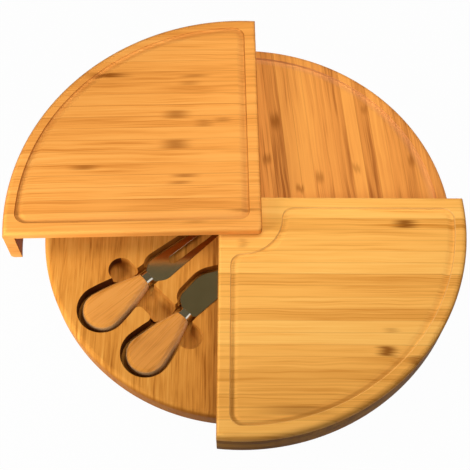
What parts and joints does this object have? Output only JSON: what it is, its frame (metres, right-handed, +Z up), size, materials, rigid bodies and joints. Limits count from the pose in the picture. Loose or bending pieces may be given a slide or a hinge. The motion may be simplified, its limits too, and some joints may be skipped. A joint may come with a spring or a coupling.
{
  "type": "swivel cheese board",
  "caption": "Round bamboo cheese board of nested quarter-round boards that swivel on one pivot, with juice grooves and a tray that stores a cheese fork and a cheese knife.",
  "frame": {"origin": "on the table, under the middle of the opened board's bounding box; the pivot axis stands 5.1 mm to the right of it and 5.1 mm towards the viewer", "axes": "+Z up; +X to the right and +Y away from the viewer in the pictured view, with the tool tray at -X -Y"},
  "size_m": [0.381, 0.381, 0.0448],
  "materials": {
    "tray_bamboo": "satin bamboo, amber",
    "low_bamboo": "satin bamboo, amber with darker streaks",
    "mid_bamboo": "satin bamboo, honey",
    "top_bamboo": "satin bamboo, honey",
    "handle_bamboo": "satin bamboo, honey",
    "tool_steel": "polished stainless steel",
    "bolt_steel": "plain steel",
    "insert_brass": "plain brass",
    "spacer_plastic": "smooth natural plastic"
  },
  "bodies": {
    "tray_body": {"tray": "tray_bamboo", "bolt_washer": "bolt_steel", "low_spacer": "spacer_plastic", "fork_handle": "handle_bamboo", "fork_ferrule": "tool_steel", "fork_blade": "tool_steel", "knife_handle": "handle_bamboo", "knife_ferrule": "tool_steel", "knife_blade": "tool_steel"},
    "low_board": {"low_plate": "low_bamboo", "low_skirt": "low_bamboo", "mid_spacer": "spacer_plastic"},
    "mid_board": {"mid_plate": "mid_bamboo", "mid_skirt": "mid_bamboo", "top_spacer": "spacer_plastic"},
    "top_board": {"top_plate": "top_bamboo", "top_skirt": "top_bamboo", "pivot_bolt": "bolt_steel", "thread_insert": "insert_brass"}
  },
  "joints": [
    {"name": "low_swivel", "type": "hinge", "parent": "tray_body", "child": "low_board", "pos_m": [0.0051, -0.0051, 0.0236], "axis": [0, 0, 1], "continuous": true},
    {"name": "mid_swivel", "type": "hinge", "parent": "tray_body", "child": "mid_board", "pos_m": [0.0051, -0.0051, 0.0322], "axis": [0, 0, 1], "continuous": true},
    {"name": "top_swivel", "type": "hinge", "parent": "tray_body", "child": "top_board", "pos_m": [0.0051, -0.0051, 0.0408], "axis": [0, 0, 1], "continuous": true}
  ]
}
